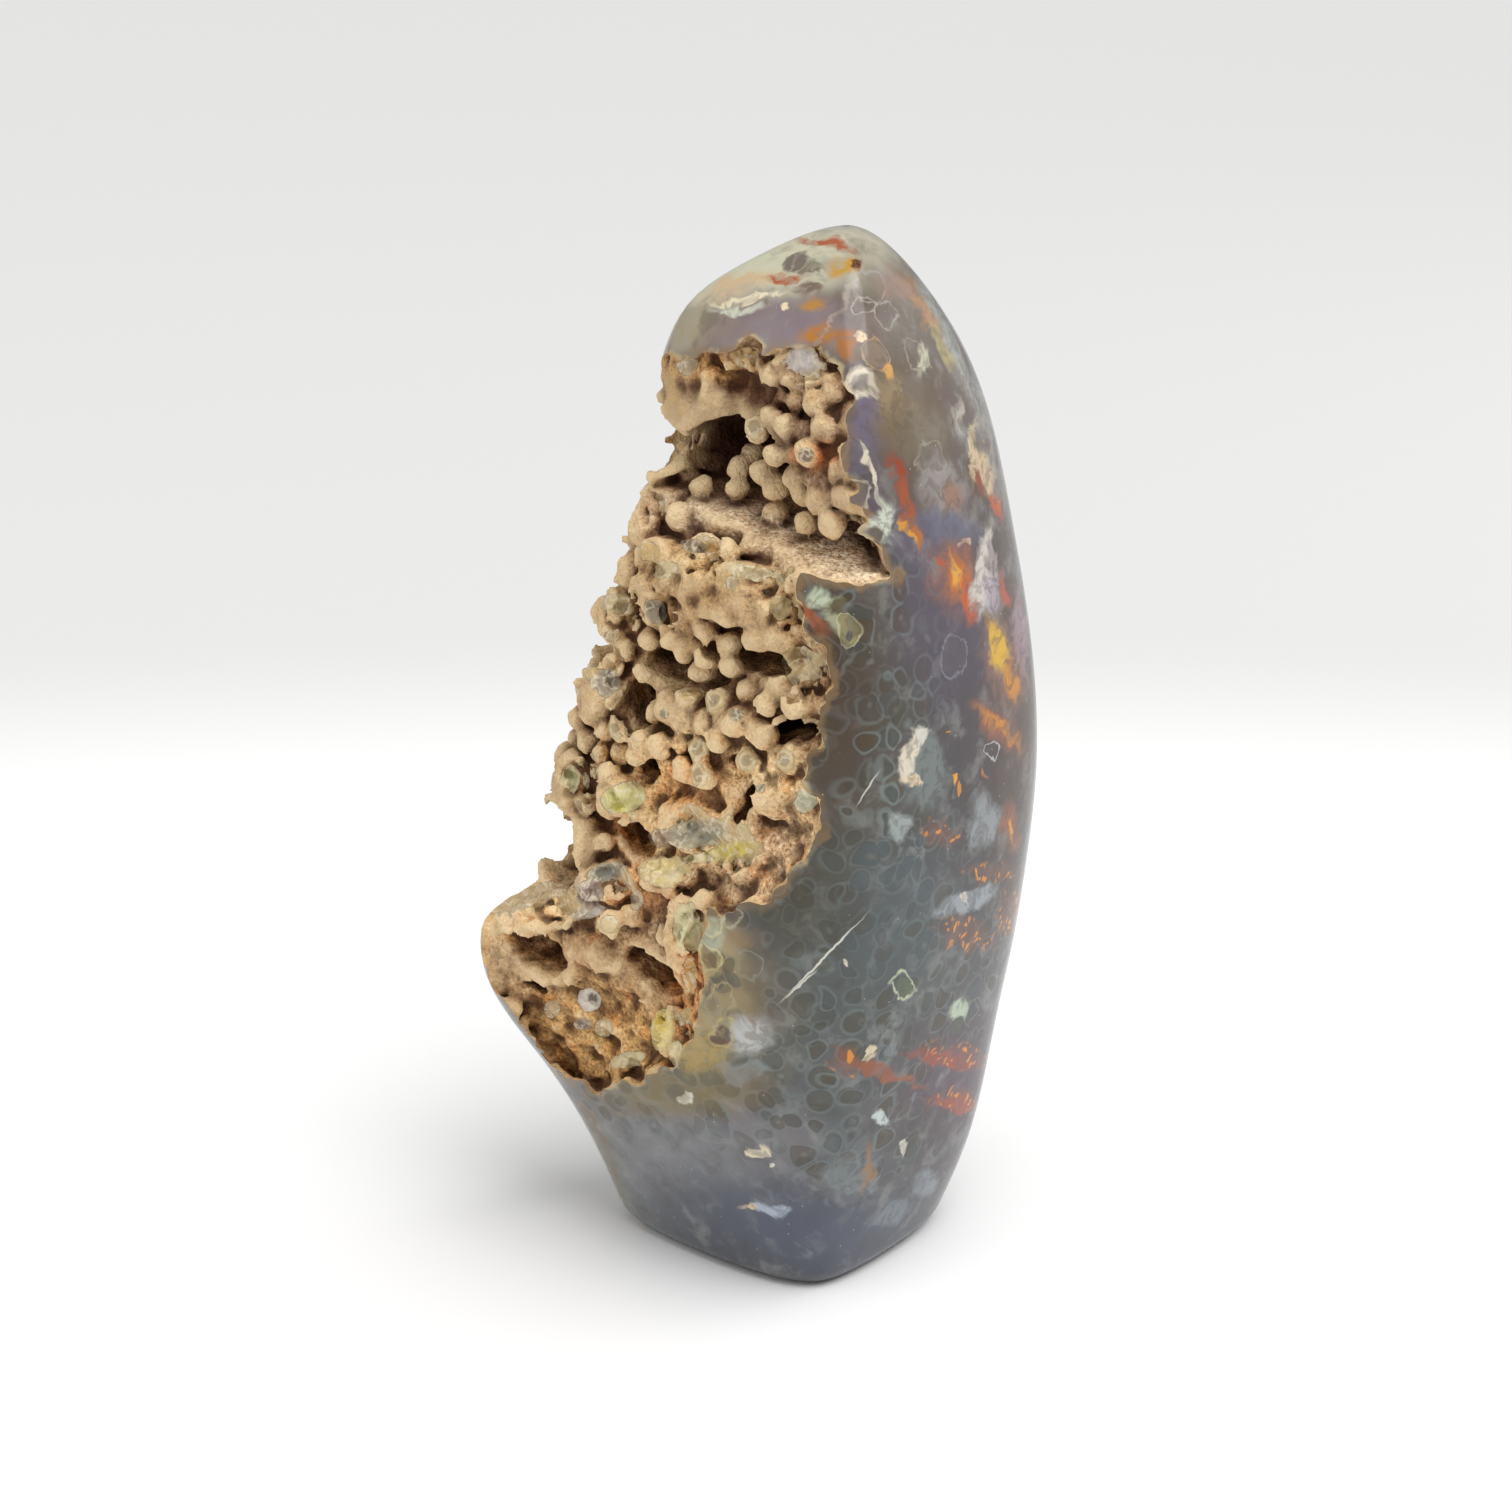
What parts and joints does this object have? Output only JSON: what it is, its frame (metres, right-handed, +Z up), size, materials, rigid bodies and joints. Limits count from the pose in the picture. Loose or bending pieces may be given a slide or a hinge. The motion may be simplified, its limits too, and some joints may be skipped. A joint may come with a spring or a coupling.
{
  "type": "ocean jasper freeform",
  "caption": "Tall polished ocean jasper freeform that stands on a flat foot, with a rough botryoidal pocket down its left front.",
  "frame": {"origin": "centre of the stone's bounding box in X and Y, on the plane of its flat foot", "axes": "+Z up along the stone's height, +X to the right and +Y away from the front edge, as in the picture"},
  "size_m": [0.0801, 0.058, 0.15],
  "materials": {
    "jasper": "polished outside, with grey-green orbs and orange bands; tan, sugary and rough in the pocket"
  },
  "bodies": {
    "root": {"stone": "jasper"}
  },
  "joints": []
}
